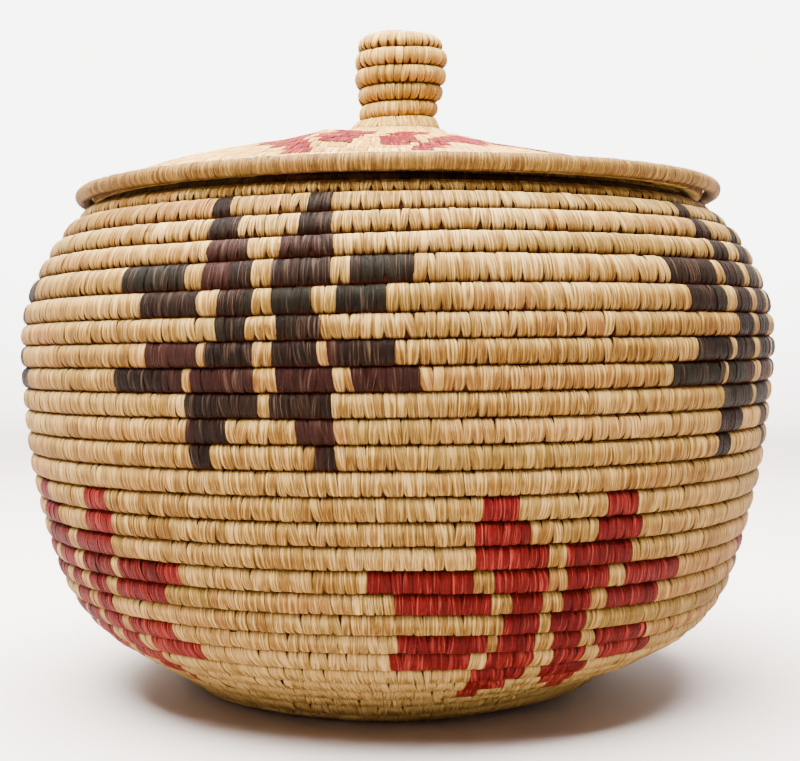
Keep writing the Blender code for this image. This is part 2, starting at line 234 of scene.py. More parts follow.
class Shade:
    """A value or a colour on its way through a material's nodes. Python's operators add Math nodes."""

    def __init__(self, tree, socket=None):
        self.tree, self.socket = tree, socket

    def node(self, kind, settings, sockets, output=0):
        """Adds any kind of node: its settings first, then what its sockets hold or are joined to."""
        made = self.tree.nodes.new("ShaderNode" + kind)
        for setting, value in settings.items():
            if setting == "stops":
                for stop in value[1:-1]:
                    made.color_ramp.elements.new(stop[0])
                for element, (position, colour) in zip(made.color_ramp.elements, value):
                    element.position, element.color = position, colour
            else:
                setattr(made, setting, value)
        for socket, value in sockets.items():
            self.join(value, made.inputs[socket])
        return Shade(self.tree, made.outputs[output])

    def join(self, value, socket):
        """Links a socket to a value on its way, or sets it to a plain one."""
        if isinstance(value, Shade):
            self.tree.links.new(value.socket, socket)
        else:
            socket.default_value = value

    def sum(self, operation, first, second):
        return self.node("Math", {"operation": operation}, {0: first, 1: second})

    def __add__(self, other):
        return self.sum("ADD", self, other)

    def __radd__(self, other):
        return self.sum("ADD", other, self)

    def __sub__(self, other):
        return self.sum("SUBTRACT", self, other)

    def __rsub__(self, other):
        return self.sum("SUBTRACT", other, self)

    def __mul__(self, other):
        return self.sum("MULTIPLY", self, other)

    def __rmul__(self, other):
        return self.sum("MULTIPLY", other, self)

    def __abs__(self):
        return self.sum("ABSOLUTE", self, 0.0)

    def within(self, low, high):
        """0 below low, 1 above high, and smooth between."""
        sockets = {"Value": self, "From Min": low, "From Max": high}
        return self.node("MapRange", {"interpolation_type": "SMOOTHSTEP"}, sockets)

    def mixed(self, factor, other):
        """This colour with that much of another."""
        return self.node("Mix", {"data_type": "RGBA"}, {0: factor, 6: self, 7: other}, 2)

    def ramp(self, places, colours):
        """The colour that this value picks from a row of them."""
        return self.node("ValToRGB", {"stops": tuple(zip(places, colours))}, {0: self})

    def noise(self, x, y, z, detail=2.0):
        """Noise at a place given by three numbers."""
        place = self.node("CombineXYZ", {}, {0: x, 1: y, 2: z})
        return self.node("TexNoise", {}, {"Vector": place, "Scale": 1.0, "Detail": detail})


def paint(red, green, blue):
    """A colour given as 0 to 255."""
    shares = [value / 255 for value in (red, green, blue)]
    return (*[((share + 0.055) / 1.055) ** 2.4 for share in shares], 1.0)


# The dyes, from their deep places to their pale ones, and what strays from them: sunburnt, green and
# rust-flecked grass, dark dye that has turned maroon or green, and red dye that has turned wine
DARK_DYE = (paint(11, 6, 3), paint(29, 18, 11), paint(66, 45, 31))
RED_DYE = (paint(58, 6, 4), paint(90, 13, 10), paint(144, 50, 40))
SUNBURNT, GREENISH, RUST = paint(158, 98, 56), paint(118, 100, 44), paint(112, 64, 26)
MAROON, DARK_GREEN, WINE = paint(56, 24, 20), paint(26, 28, 18), paint(80, 10, 14)
DARK_GLINT, RED_GLINT = paint(100, 80, 66), paint(176, 84, 70)
# The brown of the painted shade where the strips dive between the courses, also used along their edges
PAINTED_SHADE_BROWN = paint(60, 22, 8)


def strip_material(name, pale, middle, deep, painted_highlight=0.0, gloss=0.10):
    """Split grass strips, undyed or dyed dark or red. The wraps carry their tones and dyes with them.

    pale, middle and deep are the undyed grass. painted_highlight is how much paler the side of the
    course nearer the coil's end is painted, for the light from above, and gloss how strongly the strips
    shine.
    """
    material = bpy.data.materials.new(name)
    material.use_nodes = True
    sheet = Shade(material.node_tree)
    place = sheet.node("Attribute", {"attribute_name": "wrap_place"}, {}, "Vector")
    across, along, seed = (place.node("SeparateXYZ", {}, {0: place}, axis) for axis in range(3))
    marks = sheet.node("Attribute", {"attribute_name": "wrap_marks"}, {}, "Color")
    tone, hue, dark = (marks.node("SeparateColor", {}, {0: marks}, channel) for channel in range(3))
    red = sheet.node("Attribute", {"attribute_name": "wrap_marks"}, {}, "Alpha")

    fibres = sheet.noise(across * 6.5, along * 0.6, seed * 90.0, 4.0)
    splits = sheet.noise(across * 2.6, along * 0.5, seed * 50.0)
    flecks = sheet.noise(across * 5.0, along * 8.0, seed * 70.0, 3.0)
    threads = 1.0 - abs(fibres - 0.46).within(0.0, 0.05)
    glints = fibres.within(0.57, 0.66)
    grain = (fibres - 0.5) * 3.6 + (splits - 0.5) * 0.9 - threads * 0.60

    # Painted highlight: the side of each course nearer the coil's end is painted paler, for the light
    # from above
    straw = tone + grain * 0.62 + along.within(0.45, 0.85) * painted_highlight
    straw = straw.ramp((0.0, 0.5, 1.0), (deep, middle, pale))
    straw = straw.mixed(hue.within(0.70, 0.95) * 0.20, SUNBURNT)
    straw = straw.mixed((1.0 - hue.within(0.05, 0.24)) * 0.30, GREENISH)
    straw = straw.mixed(flecks.within(0.60, 0.80) * 0.35, RUST)
    dark_strip = (tone * 0.72 + grain * 0.36).ramp((0.0, 0.45, 1.0), DARK_DYE)
    dark_strip = dark_strip.mixed(hue.within(0.66, 0.85) * 0.38, MAROON)
    dark_strip = dark_strip.mixed((1.0 - hue.within(0.12, 0.30)) * 0.35, DARK_GREEN)
    dark_strip = dark_strip.mixed(glints * 0.24, DARK_GLINT)
    red_strip = (tone * 0.9 + grain * 0.42).ramp((0.0, 0.5, 1.0), RED_DYE)
    red_strip = red_strip.mixed((1.0 - hue.within(0.10, 0.36)) * 0.45, WINE)
    red_strip = red_strip.mixed(glints * 0.20, RED_GLINT)
    colour = straw.mixed(dark, dark_strip).mixed(red, red_strip)
    # Painted shade: the strip is darkened where it dives between the courses. It is also darkened a
    # little along its edges
    tucked_shade = 1.0 - along.within(-0.02, 0.12) * (1.0 - along.within(0.91, 1.03))
    edge = abs(across).within(0.36, 0.50)
    colour = colour.mixed(tucked_shade * 0.85 + edge * 0.12, PAINTED_SHADE_BROWN)

    shader = material.node_tree.nodes["Principled BSDF"]
    shader.inputs["IOR"].default_value = 1.45
    shader.inputs["Specular IOR Level"].default_value = gloss
    sheet.join(colour, shader.inputs["Base Color"])
    sheet.join(0.55 + (fibres - 0.5) * 0.4, shader.inputs["Roughness"])
    height = grain * 0.6 + flecks * 0.15
    bump = sheet.node("Bump", {}, {"Strength": 1.0, "Distance": 0.5 * MM, "Height": height})
    sheet.join(bump, shader.inputs["Normal"])
    return material


def bundle_material(name, colour, deep):
    """The bundle of grass under the wraps, browned, with its stems along the coil."""
    material = bpy.data.materials.new(name)
    material.use_nodes = True
    sheet = Shade(material.node_tree)
    place = sheet.node("Attribute", {"attribute_name": "wrap_place"}, {}, "Vector")
    round_it, along, _ = (place.node("SeparateXYZ", {}, {0: place}, axis) for axis in range(3))
    stems = sheet.noise(along * 260.0, round_it * 14.0, 0.0)
    shader = material.node_tree.nodes["Principled BSDF"]
    sheet.join(stems.ramp((0.3, 0.7), (deep, colour)), shader.inputs["Base Color"])
    shader.inputs["Specular IOR Level"].default_value = 0.06
    sheet.join(0.75 + stems * 0.2, shader.inputs["Roughness"])
    bump = sheet.node("Bump", {}, {"Strength": 0.6, "Distance": 0.3 * MM, "Height": stems})
    sheet.join(bump, shader.inputs["Normal"])
    return material


def finish_piece(obj, material, body, node):
    """Gives a piece its material, and says what it rides on and which solid it stands for."""
    obj.data.materials.clear()
    obj.data.materials.append(material)
    obj.data.shade_smooth()
    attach(obj, body)
    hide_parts(node)


def keep_attribute(mesh, name, kind, key, values):
    """Stores values at a mesh's points, for its material to read."""
    attribute = mesh.attributes.new(name, kind, "POINT")
    attribute.data.foreach_set(key, np.asarray(values, np.float32).ravel())


def value_at(value, place):
    """A value that is the same all along a coil, or that a function gives for each place."""
    return value(place) if callable(value) else value


def fullness(start, end):
    """1 where a course has its whole width, and down to 0 where the coil thins out at its ends."""
    return np.minimum(1, (end - start) / np.max(end - start) * 2)


# The bundle is a tube of so many sides, in steps of about this length. It takes this share of the
# room in the wraps, and reaches past its course, so that no light comes through between two.
BUNDLE_SIDES = 8
BUNDLE_STEP = 7.0 * MM
FEWEST_STEPS = 8
BUNDLE_REACH = 0.80
BUNDLE_LAP = 0.16
MEASURED_PLACES = 400


def lay_bundle(name, coil, first, last, roundness, lap):
    """The grass inside a stretch of coil: a grid rolled into a tube and laid along it."""
    mean_radius = np.mean(coil.radius(np.linspace(first, last, MEASURED_PLACES)))
    steps = int(math.tau * (last - first) * mean_radius / BUNDLE_STEP) + FEWEST_STEPS
    bpy.ops.object.select_all(action="DESELECT")
    bpy.ops.mesh.primitive_grid_add(x_subdivisions=steps, y_subdivisions=BUNDLE_SIDES, size=1)
    obj = bpy.context.object
    obj.name = obj.data.name = name
    flat = np.array([vertex.co for vertex in obj.data.vertices], float)
    place = first + (flat[:, 0] + 0.5) * (last - first)
    angle = -math.tau * flat[:, 1]
    room = value_at(lap, place) + (BUNDLE_LAP if coil.climbs else 0)
    across, out = wrap_section(angle, BUNDLE_REACH, value_at(roundness, place), room, coil)
    points = coil.points(place, across, out * fullness(*coil.edges(place)))
    obj.data.vertices.foreach_set("co", points.ravel())
    keep_attribute(obj.data, "wrap_place", "FLOAT_VECTOR", "vector",
                   np.column_stack([place * math.tau * coil.radius(place), across, place * 0]))
    edit(obj)
    bpy.ops.mesh.select_all(action="SELECT")
    bpy.ops.mesh.remove_doubles(threshold=0.01 * MM)
    if coil.climbs:
        bpy.ops.mesh.select_all(action="DESELECT")
        bpy.ops.mesh.select_non_manifold()
        bpy.ops.mesh.fill()
        bpy.ops.mesh.select_all(action="SELECT")
    bpy.ops.mesh.normals_make_consistent(inside=False)
    bpy.ops.object.mode_set(mode="OBJECT")
    return obj


# One strip sews a few wraps, then the next one starts with a colour of its own. Strips differ in
# tone and hue, and the wraps of one strip a little less. They lean, and differ in how far they stand
# out, in breadth and in length, as shares of the whole, and in how hard their ends are pulled.
NEW_STRIP_CHANCE = 0.11
STRIP_TONES, WRAP_TONES = 0.09, 0.07
STRIP_HUES, WRAP_HUES = 0.9, 0.1
LEAN, LEAN_SPREAD = -0.03, 0.07
SWELL_SPREAD, BREADTH_SPREAD, LENGTH_SPREAD = 0.022, 0.05, 0.025
PULL_RANGE = (0.7, 1.35)


def lay_wraps(name, coil, first, last, rng, roundness, lap, width=STRIP_WIDTH, dyes=None,
              pieces=1, foot=-1, cover=1.13, drawn_in=0.6, paleness=0.52):
    """Sews a stretch of coil: lays the wrap's pattern along it, wrap after wrap.

    foot is -1 where the wraps go through the course nearer the line's start, and 1 the other way.
    cover is how much of its own width each wrap fills, and drawn_in how far its ends are drawn in.
    dyes gives each wrap's shares of dark and red dye, and pieces is how many meshes they are put in.
    """
    places, widths = coil.places(first, last, width, rng)
    count = len(places)
    x, y, z = wrap_points.T
    angle, reach = np.arctan2(-foot * y, x), np.hypot(x, y)
    strips = np.cumsum(rng.random(count) < NEW_STRIP_CHANCE)
    strip_tone = STRIP_TONES * rng.standard_normal(strips[-1] + 1)
    tone = strip_tone[strips] + WRAP_TONES * rng.standard_normal(count) + value_at(paleness, places)
    hue = rng.random(strips[-1] + 1)[strips] * STRIP_HUES + WRAP_HUES * rng.random(count)
    lean = LEAN + LEAN_SPREAD * rng.standard_normal(count)
    swell = 1 + SWELL_SPREAD * rng.standard_normal(count)
    breadth = cover * (1 + BREADTH_SPREAD * rng.standard_normal(count))
    longer = 1 + LENGTH_SPREAD * rng.standard_normal(count)
    seed = rng.random(count)

    here = places[:, None]
    shape, room = (value_at(value, here) + np.zeros((count, 1)) for value in (roundness, lap))
    across, out = wrap_section(angle[None, :], reach[None, :], shape, room, coil)
    across = 0.5 + (across - 0.5) * longer[:, None]
    start, end = coil.edges(places)
    pitch = np.max(end - start)
    radius = np.maximum(coil.radius(places), SHORTEST_TURN_RADIUS)
    pull = value_at(drawn_in, places) * rng.uniform(*PULL_RANGE, count)
    ends = z[None, :] + wrap_drawn_in[None, :] * pull[:, None]
    sideways = ends * (widths * breadth)[:, None]
    sideways = sideways + (across - 0.5) * (lean * pitch)[:, None]
    turned = here + sideways / (math.tau * radius[:, None])
    points = coil.points(turned, across, out * (swell * fullness(start, end))[:, None])

    marks = np.zeros((count, 4))
    marks[:, 0], marks[:, 1] = np.clip(tone, 0, 1), hue
    if dyes is not None:
        marks[:, 2], marks[:, 3] = dyes(places)
    ribbon = np.zeros((count, len(z), 3))
    ribbon[..., 0], ribbon[..., 1], ribbon[..., 2] = z, across, seed[:, None]
    made = []
    for number, group in enumerate(np.array_split(np.arange(count), pieces), 1):
        mesh = bpy.data.meshes.new(name if pieces == 1 else f"{name}_{number}")
        faces = (np.arange(len(group))[:, None, None] * len(z) + wrap_faces[None]).reshape(-1, 4)
        if foot * coil.outside * coil.turning > 0:
            faces = faces[:, ::-1]
        mesh.vertices.add(len(group) * len(z))
        mesh.vertices.foreach_set("co", points[group].ravel())
        mesh.loops.add(faces.size)
        mesh.loops.foreach_set("vertex_index", faces.ravel())
        mesh.polygons.add(len(faces))
        mesh.polygons.foreach_set("loop_start", np.arange(len(faces)) * 4)
        mesh.update(calc_edges=True)
        keep_attribute(mesh, "wrap_place", "FLOAT_VECTOR", "vector", ribbon[group])
        keep_attribute(mesh, "wrap_marks", "FLOAT_COLOR", "color",
                       np.repeat(marks[group], len(z), axis=0))
        obj = bpy.data.objects.new(mesh.name, mesh)
        bpy.context.scene.collection.objects.link(obj)
        made.append(obj)
    return made


def scaled(shares, start, width, height, lift=0.0):
    """Points of (radius, height) from shares of a way out and of a way up."""
    return [(start + across * width, up * height + lift) for across, up in shares]


# Up to which course of the wall it is sewn flatter, and over how many courses that changes
FLATTER_COURSES = 7.5
CHANGE_COURSES = 3.0


def flatter_underneath(place, on_wall, underneath):
    """The courses under the basket are sewn flatter than those of the wall."""
    share = np.clip((BASE_COURSES + FLATTER_COURSES - place) / CHANGE_COURSES, 0, 1)
    return on_wall + (underneath - on_wall) * share


def body_roundness(place):
    return flatter_underneath(place, on_wall=2.55, underneath=3.1)


def body_lap(place):
    return flatter_underneath(place, on_wall=0.022, underneath=0.06)


def body_drawn_in(place):
    """The wraps gape most at their feet underneath, and near the rim, where the wall turns in."""
    return np.interp(place - BASE_COURSES, (3, 8, 19, 22, 27), (0.8, 0.62, 0.62, 0.75, 0.8))


def body_painted_light(place):
    """Painted light: the courses under the basket are painted palest, for the floor's light on them."""
    return np.interp(place - BASE_COURSES, (1, 5, 9, 17, 23), (0.95, 0.75, 0.50, 0.50, 0.58))


def measured(value, places, amounts):
    """An amount read from a table in millimetres."""
    return np.interp(value, np.array(places) * MM, np.array(amounts) * MM)


# How far the foot reaches from the axis, and where the right side starts to be pressed in, and how
# far out from there it is pressed in full
FOOT_REACH = 76 * MM
PRESSED_FROM, PRESSED_OVER = 20 * MM, 80 * MM


def body_settled(x, y, z):
    """The basket isn't quite even: its underside lifts to the right, its courses droop to the left."""
    lift = measured(z, (0, 5, 8, 14, 24, 34, 44, 60, 90, 120),
                    (4.2, 4.6, 3.2, 0.6, -0.7, -1.7, -2.2, -1.4, -0.5, 0))
    drop = measured(z, (110, 135, 150, 160, 172, 180, 186), (0, 0.6, 1.4, 1.8, 1.7, 0.5, 0))
    squeeze = measured(z, (0, 5, 15, 70, 110, 140), (0, 0.5, 1.8, 1.8, 0.6, 0))
    aside = x / FOOT_REACH
    z = z + lift * np.clip(aside, 0, 1.2) - drop * np.clip(0.25 - aside, 0, 1.1)
    return x - squeeze * np.clip((x - PRESSED_FROM) / PRESSED_OVER, 0, 1), y, z


belly = BELLY_RADIUS - COIL_THICKNESS / 2
body_line = smooth_line([
    *scaled(BASE_SHARES, 0, BASE_RADIUS, BASE_RISE, COIL_THICKNESS / 2),
    *scaled(LOWER_WALL_SHARES, BASE_RADIUS, belly - BASE_RADIUS, WALL_HEIGHT),
    *scaled(UPPER_WALL_SHARES, RIM_RADIUS, belly - RIM_RADIUS, WALL_HEIGHT),
    (RIM_RADIUS, WALL_HEIGHT),
])
body_line[:, 1] = np.maximum(body_line[:, 1], COIL_THICKNESS / 2)
body_reached = distances(body_line)
base_points = (len(BASE_SHARES) - 1) * LINE_STEPS
foot_at = np.interp(BASE_RADIUS, body_line[:base_points, 0], body_reached[:base_points])
wall_end = body_reached[-1] - RIM_THICKNESS / 2 + RIM_OVERLAP
even_course = (wall_end - foot_at) / WALL_COURSES
body_coil = Coil(body_line, [(0, 0)] + [
    (BASE_COURSES + course, min(foot_at + (course + stray) * even_course, wall_end))
    for course, stray in STRAY_COURSES], COIL_THICKNESS, outside=-1, settled=body_settled)
# All that is left to chance is drawn from this, piece after piece in the order they are made
rng = np.random.default_rng(7)

# The wall's strips carry a painted highlight on the upper side of each course
body_strips = strip_material("body_strips", paint(170, 138, 80), paint(131, 98, 43), paint(92, 58, 20),
                             painted_highlight=0.35, gloss=0.05)
body_grass = bundle_material("body_grass_bundle", paint(62, 28, 12), paint(30, 12, 6))
# In turns from the very middle, where there is no room for a wrap
BASE_WRAPS_START = 0.15
base_bundle = lay_bundle("base_bundle", body_coil, 0, BASE_COURSES, body_roundness, body_lap)
finish_piece(base_bundle, body_grass, "basket", "base_coil")
for obj in lay_wraps("base_wraps", body_coil, BASE_WRAPS_START, BASE_COURSES, rng, body_roundness,
                     body_lap, drawn_in=body_drawn_in, paleness=body_painted_light):
    finish_piece(obj, body_strips, "basket", "base_coil")


# The wall
# The same coil goes on up the wall. Five stepped figures in dark strips stand round its upper
# half and five in red round its lower half, between them. The sewer changes strips for them, so
# each figure is made of whole wraps, and climbs with the coil.

# Each row: how far it stands aside of the figure's middle, then its stretches to both sides and
# how much longer each is on the left, in degrees
DARK_ROWS = (
    (-1.9, (5.7, 9.2)),
    (-1.2, (4.3, 9.0)),
    (-0.6, (2.0, 8.4)),
    (0.0, (1.5, 8.6), (11.3, 19.4, 2.1)),
    (0.0, (1.2, 6.5), (9.2, 15.9, 2.0)),
    (0.1, (1.6, 6.7)),
    (0.0, (1.2, 7.4), (9.0, 16.2, 1.0)),
    (0.0, (1.5, 9.4), (11.1, 19.8, 1.9)),
    (0.0, (0.9, 8.6, 1.6)),
    (0.0, (4.4, 8.7, 1.6)),
    (0.0, (6.9, 9.3, 0.9)),
)
RED_ROWS = (
    (-0.15, (6.4, 11.5)),
    (0.3, (4.8, 12.0)),
    (0.0, (1.3, 11.7)),
    (0.0, (1.4, 9.2), (11.5, 23.4, 1.9)),
    (0.0, (1.4, 6.1), (8.9, 19.8, 1.9)),
    (0.0, (0.9, 6.4)),
    (0.0, (0.9, 6.5), (8.8, 19.8, 1.6)),
    (0.4, (1.6, 8.4), (10.9, 22.4, 1.6)),
    (0.4, (1.6, 10.6)),
    (0.6, (4.0, 11.4)),
    (0.3, (7.8, 11.7)),
)
# Where each figure's top row has its middle: whole turns of the wall, and degrees from +X
DARK_FIGURES = ((25, 253.2), (25, 329.7), (26, 41.2), (25, 112.7), (25, 184.2))
RED_FIGURES = ((13, 291.8), (14, 2.6), (14, 73.4), (13, 144.2), (13, 215.0))


def in_figures(place, figures, rows, outward=1):
    """1 where a wrap belongs to one of the figures, and 0 elsewhere.

    outward is 1 where the rows follow the coil outwards, and -1 where they go down a wall.
    """
    inside = np.zeros_like(place)
    for turns, degrees in figures:
        passed = outward * (place - turns - degrees / 360)
        row = np.rint(passed).astype(int)
        aside = outward * (passed - row) * 360
        for number, (shift, *stretches) in enumerate(rows):
            for low, high, *longer in stretches:
                reach = np.abs(aside - shift)
                end = high + np.where(aside < shift, sum(longer), 0)
                inside[(row == number) & (reach > low) & (reach < end)] = 1.0
    return inside


def wall_dyes(place):
    turns = place - BASE_COURSES
    return [in_figures(turns, figures, rows, outward=-1)
            for figures, rows in ((DARK_FIGURES, DARK_ROWS), (RED_FIGURES, RED_ROWS))]


# A coil ends in one more turn that thins out: how much of it the bundle takes, and the wraps
BUNDLE_TAIL, WRAPS_TAIL = 0.75, 0.8

body_end = BASE_COURSES + WALL_COURSES
wall_bundle = lay_bundle("wall_bundle", body_coil, BASE_COURSES, body_end + BUNDLE_TAIL,
                         body_roundness, body_lap)
finish_piece(wall_bundle, body_grass, "basket", "wall_coil")
for obj in lay_wraps("wall_wraps", body_coil, BASE_COURSES, body_end + WRAPS_TAIL, rng, body_roundness,
                     body_lap, dyes=wall_dyes, pieces=5, drawn_in=body_drawn_in, paleness=body_painted_light):
    finish_piece(obj, body_strips, "basket", "wall_coil")


# The rim
# The last course is finished as a slimmer round coil, which the lid rests on. Its strips are
# painted dark brown, as painted shade for the deep shadow under the lid's edge.
def ring_coil(radius, height, thickness, lean, outside, settled=None):
    """A coil closed on itself. lean turns its section, in degrees."""
    step = thickness / 2 * np.array([math.cos(math.radians(lean)), math.sin(math.radians(lean))])
    centre = np.array([radius, height])
    line = np.array([centre + share * step for share in (-1, -0.5, 0, 0.5, 1)])
    return Coil(line, [(0, 0), (1, thickness)], thickness, outside, climbs=False, settled=settled)


RIM_SET_BACK = 1.2 * MM
rim_coil = ring_coil(RIM_RADIUS - RIM_SET_BACK, WALL_HEIGHT, RIM_THICKNESS, lean=90, outside=-1)
# Painted shade: the rim's strips are painted dark, for the shadow under the lid's edge
rim_shaded_strips = strip_material("rim_shaded_strips", paint(64, 38, 18), paint(46, 25, 11), paint(28, 14, 6))
rim_bundle = lay_bundle("rim_bundle", rim_coil, 0, 1, roundness=2.0, lap=0.0)
finish_piece(rim_bundle, body_grass, "basket", "rim_coil")
for obj in lay_wraps("rim_wraps", rim_coil, 0, 1, rng, roundness=2.0, lap=0.0, width=2.6 * MM,
                     drawn_in=0.0):
    finish_piece(obj, rim_shaded_strips, "basket", "rim_coil")


# The knob
# The lid's coil starts on top of the knob, thin, and is wound down round a hollow. Its courses
# are the roundest of all, because they are pulled tight round a small turn.
LID_RISE = 22.0 * MM
LID_THICKNESS = 6.2 * MM
KNOB_HEIGHT = 41.2 * MM
KNOB_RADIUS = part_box("knob_coil")[1].x
CAP_RADIUS = 9.0 * MM
CAP_COURSES = 2
# How far up the knob its neck is narrowest, and how wide the courses above and below that are
NECK_SHARE = 0.285
KNOB_COURSE_WIDTH = 7.4 * MM
LID_COURSE_WIDTH = 7.8 * MM
# How far the dome ends short of the coil of its edge
SEAT_GAP = 0.3 * MM
edge_low, edge_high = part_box("lid_edge_coil")
# The middle line of the knob, from its top down, as shares of (knob radius, knob height), and then
# of the dome, as shares of (lid radius, dome's rise). Its first CAP_SPANS only go outwards.
KNOB_SHARES = (
    (0.0, 1.0), (0.40, 0.999), (0.72, 0.988), (0.915, 0.946), (0.987, 0.864), (1.0, 0.731),
    (0.974, 0.597), (0.877, 0.464), (0.823, 0.342), (0.823, 0.252), (0.877, 0.182),
    (1.007, 0.114), (1.227, 0.051),
)
LID_SHARES = ((0.200, 1.0), (0.420, 0.773), (0.721, 0.428), (1.0, 0.0))
CAP_SPANS = 2

lid_end_radius = edge_high.x - (edge_high.z - edge_low.z) - SEAT_GAP
lid_line = smooth_line([
    *scaled(KNOB_SHARES, 0, KNOB_RADIUS - LID_THICKNESS / 2, KNOB_HEIGHT, LID_RISE),
    *scaled(LID_SHARES, 0, lid_end_radius, LID_RISE),
])
lid_line[:, 1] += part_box("knob_cap")[1].z - LID_THICKNESS / 2 - lid_line[0, 1]
lid_reached = distances(lid_line)
cap_points = CAP_SPANS * LINE_STEPS
cap_at = np.interp(CAP_RADIUS, lid_line[:cap_points, 0], lid_reached[:cap_points])
neck_at = np.interp(-(lid_line[0, 1] - (1 - NECK_SHARE) * KNOB_HEIGHT), -lid_line[:, 1], lid_reached)
knob_courses = max(1, round((neck_at - cap_at) / KNOB_COURSE_WIDTH))
lid_courses = max(1, round((lid_reached[-1] - neck_at) / LID_COURSE_WIDTH))
neck_turn = CAP_COURSES + knob_courses
lid_turns = neck_turn + lid_courses
neck_height = np.interp(neck_at, lid_reached, lid_line[:, 1])
# Shares of the knob's height: how far its top leans to the right and how much taller it is. Shares
# of the way to the right: how much its courses dip there and how much the lid's edge rises.
KNOB_LEAN, KNOB_STRETCH, KNOB_TILT, EDGE_TILT = 0.065, 0.018, 0.029, 0.012
# Where the dome's unevenness ends and the edge's begins, over how far each comes in, and over how
# much of the knob's foot its dip does
DOME_REACH, EDGE_REACH, FADE, FOOT_HEIGHT = 118 * MM, 95 * MM, 20 * MM, 8 * MM


def lid_settled(x, y, z):
    """The dome is lower on the right, the knob leans that way, and the edge rises a little there."""
    reach = np.hypot(x, y)
    up = np.maximum(z - neck_height, 0)
    dome = measured(x, (-40, -27, -12, 0, 22, 35, 60, 90), (0, -1.8, 0.2, 0.7, 0.6, 2.2, 2.6, 2.0))
    dome = dome * np.clip((DOME_REACH - reach) / FADE, 0, 1)
    edge = EDGE_TILT * x * np.clip((reach - EDGE_REACH) / FADE, 0, 1)
    knob = KNOB_STRETCH * up - KNOB_TILT * x * np.clip(up / FOOT_HEIGHT, 0, 1)
    return x + KNOB_LEAN * up, y, z - dome + edge + knob


lid_coil = Coil(lid_line, [(0, 0), (CAP_COURSES, cap_at), (neck_turn, neck_at),
                           (lid_turns, lid_reached[-1])],
                LID_THICKNESS, outside=1, turning=-1, settled=lid_settled)


# Between which turns from the neck on the sewing changes
CHANGE_TURNS = (0.5, 2.0)


def from_neck_on(place, on_knob, on_dome):
    """The courses of the dome are sewn flatter, and closer together, than those of the knob."""
    return np.interp(place - neck_turn, CHANGE_TURNS, (on_knob, on_dome))


def lid_roundness(place):
    return from_neck_on(place, on_knob=2.3, on_dome=4.2)


def lid_lap(place):
    return from_neck_on(place, on_knob=0.01, on_dome=0.085)


# In turns from the very top, where there is no room for a wrap
KNOB_WRAPS_START = 0.1
lid_strips = strip_material("lid_strips", paint(200, 164, 88), paint(174, 132, 60), paint(134, 90, 34),
                            gloss=0.02)
lid_grass = bundle_material("lid_grass_bundle", paint(96, 48, 24), paint(46, 20, 10))
for part, first, last in (("knob_cap", 0, CAP_COURSES), ("knob_coil", CAP_COURSES, neck_turn)):
    bundle = lay_bundle(part + "_bundle", lid_coil, first, last, lid_roundness, lid_lap)
    finish_piece(bundle, lid_grass, "lid", part)
    for obj in lay_wraps(part + "_wraps", lid_coil, max(first, KNOB_WRAPS_START), last, rng,
                         lid_roundness, lid_lap, width=2.8 * MM, foot=1, cover=1.08, drawn_in=0.85,
                         paleness=0.66):
        finish_piece(obj, lid_strips, "lid", part)


# The lid
# From the knob's foot the coil is wound out in a shallow dome, sewn almost flush like brickwork.
# Five red figures like those of the wall, but wider, lie round it between the knob and the edge.

# Each row: its middle, then its stretches to both sides, in degrees
LID_ROWS = (
    (0.0, (5.0, 25.0)),
    (0.0, (3.5, 22.0)),
    (0.0, (3.0, 18.0)),
    (0.0, (2.6, 15.0), (24.0, 34.0)),
    (0.0, (2.4, 13.0), (20.0, 35.0)),
    (0.0, (2.4, 12.5), (16.0, 35.0)),
    (0.0, (2.2, 12.0), (15.0, 30.0)),
    (0.0, (2.2, 12.0), (14.0, 26.0)),
    (0.0, (2.6, 9.0), (11.0, 18.0)),
    (0.0, (8.5, 15.0)),
    (0.0, (8.3, 13.4)),
)
# In turns from the knob's foot, and degrees the way the lid is wound, clockwise from +X
LID_FIGURES = ((4, 97.0), (4, 25.0), (3, 313.0), (3, 241.0), (4, 169.0))


def lid_dyes(place):
    return np.zeros_like(place), in_figures(place - neck_turn, LID_FIGURES, LID_ROWS)


lid_bundle = lay_bundle("lid_bundle", lid_coil, neck_turn, lid_turns + BUNDLE_TAIL, lid_roundness,
                        lid_lap)
finish_piece(lid_bundle, lid_grass, "lid", "lid_coil")
for obj in lay_wraps("lid_wraps", lid_coil, neck_turn, lid_turns + WRAPS_TAIL, rng, lid_roundness,
                     lid_lap, dyes=lid_dyes, pieces=2, foot=1, drawn_in=0.25, paleness=0.62):
    finish_piece(obj, lid_strips, "lid", "lid_coil")


# The lid's edge
# A round coil of the same grass finishes the dome and reaches out past the rim. It is sewn to the
# last course with finer strips, close together, so that it is smooth to the hand.
EDGE_THICKNESS = 5.9 * MM
EDGE_LIFT = 0.6 * MM
edge_radius = edge_high.x - EDGE_THICKNESS / 2
edge_height = edge_high.z - EDGE_THICKNESS / 2 + EDGE_LIFT
edge_coil = ring_coil(edge_radius, edge_height, EDGE_THICKNESS, lean=-90, outside=1, settled=lid_settled)
# Painted shade: the edge's strips are painted darker than the lid's, for the shade on the edge coil's
# front
edge_shaded_strips = strip_material("edge_shaded_strips", paint(158, 124, 62), paint(126, 92, 38), paint(88, 56, 20))
edge_bundle = lay_bundle("lid_edge_bundle", edge_coil, 0, 1, roundness=2.0, lap=0.0)
finish_piece(edge_bundle, lid_grass, "lid", "lid_edge_coil")
for obj in lay_wraps("lid_edge_wraps", edge_coil, 0, 1, rng, roundness=2.0, lap=0.0, width=1.9 * MM,
                     drawn_in=0.0, cover=1.16):
    finish_piece(obj, edge_shaded_strips, "lid", "lid_edge_coil")


